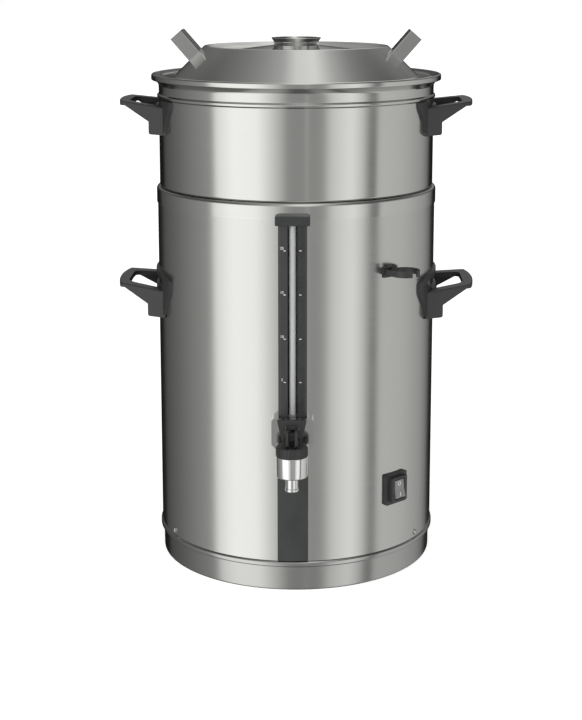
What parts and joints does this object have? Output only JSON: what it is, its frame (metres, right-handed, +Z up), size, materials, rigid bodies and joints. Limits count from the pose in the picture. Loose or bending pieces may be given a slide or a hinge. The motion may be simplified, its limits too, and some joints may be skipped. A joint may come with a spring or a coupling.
{
  "type": "coffee urn",
  "caption": "Insulated brewing urn with a self-closing lever tap, level gauge, rocker switch, side handles and a stacked brewing vessel with basket and lid.",
  "frame": {"origin": "on the urn's axis at the underside of the base ring", "axes": "+Z up; the tap and the gauge face -Y; the handles stand at +X and -X; the switch is 45 degrees to the right of the tap"},
  "size_m": [0.473, 0.442, 0.7029],
  "materials": {
    "steel_brushed": "satin, brushed around the body",
    "steel_polished": "bright, finely polished",
    "chrome": "mirror plated",
    "element_steel": "heat darkened",
    "aluminium": "plain milled",
    "brass": "plain turned",
    "black_plastic": "fine grained matt",
    "strip_plastic": "smooth matt",
    "rocker_plastic": "semi gloss",
    "white_plastic": "plain",
    "seal_rubber": "soft matt",
    "mineral_wool": "fibrous",
    "glass": "clear tube"
  },
  "bodies": {
    "urn": {"base_ring": "steel_brushed", "base_plate": "steel_brushed", "base_plate_screws": "steel_polished", "outer_jacket": "steel_brushed", "jacket_screws": "steel_polished", "top_ring": "steel_brushed", "inner_tank": "steel_brushed", "insulation": "mineral_wool", "heat_spreader": "aluminium", "heating_element": "element_steel", "element_clamp": "steel_brushed", "clamp_nut": "brass", "thermostat": "aluminium", "thermal_cutout": "black_plastic", "terminal_block": "white_plastic", "tap_block": "steel_polished", "front_strip": "strip_plastic", "tap_body": "chrome", "tap_gasket": "seal_rubber", "tap_lock_nut": "brass", "outlet_elbow": "steel_brushed", "tap_bonnet": "black_plastic", "tap_spring": "steel_polished", "gauge_cover": "black_plastic", "gauge_cap": "black_plastic", "gauge_tube": "glass", "gauge_seals": "seal_rubber", "plug_clip": "black_plastic", "switch_frame": "black_plastic", "mains_inlet": "black_plastic", "inlet_screws": "steel_polished", "lower_handle_right": "black_plastic", "lower_handle_left": "black_plastic", "lower_handle_screws": "steel_polished"},
    "stem": {"tap_stem": "black_plastic", "tap_seat_cup": "seal_rubber", "lever_pin": "element_steel"},
    "lever": {"tap_lever": "black_plastic"},
    "rocker": {"switch_rocker": "rocker_plastic"},
    "vessel": {"brew_vessel": "steel_brushed", "upper_handle_right": "black_plastic", "upper_handle_left": "black_plastic", "upper_handle_screws": "steel_polished", "mixing_tube": "steel_polished"},
    "basket": {"brew_basket": "steel_brushed", "basket_grid": "steel_brushed"},
    "lid": {"lid_shell": "steel_polished", "inlet_collar": "steel_polished", "lid_grip_right": "steel_polished", "lid_grip_left": "steel_polished", "spray_plate": "steel_polished"}
  },
  "joints": [
    {"name": "stem_lift", "type": "slide", "parent": "urn", "child": "stem", "axis": [0, 0, 1], "range_m": [0, 0.004], "stiffness_N_per_m": 300, "springref_m": -0.005, "deforming": ["tap_spring"]},
    {"name": "lever_tilt", "type": "hinge", "parent": "stem", "child": "lever", "pos_m": [0, -0.232, 0.2196], "axis": [1, 0, 0], "range_deg": [0, 30]},
    {"name": "switch_tip", "type": "hinge", "parent": "urn", "child": "rocker", "pos_m": [0.13513, -0.13513, 0.1208], "axis": [0.7071, 0.7071, 0], "range_deg": [0, 18]},
    {"name": "vessel_lift", "type": "slide", "parent": "urn", "child": "vessel", "axis": [0, 0, 1], "range_m": [0, 0.28]},
    {"name": "basket_lift", "type": "slide", "parent": "vessel", "child": "basket", "axis": [0, 0, 1], "range_m": [0, 0.135]},
    {"name": "lid_lift", "type": "slide", "parent": "basket", "child": "lid", "axis": [0, 0, 1], "range_m": [0, 0.06]}
  ],
  "couplings": [
    {"joint": "lever_tilt", "follows": "stem_lift", "rad_per_m": 130.8}
  ]
}
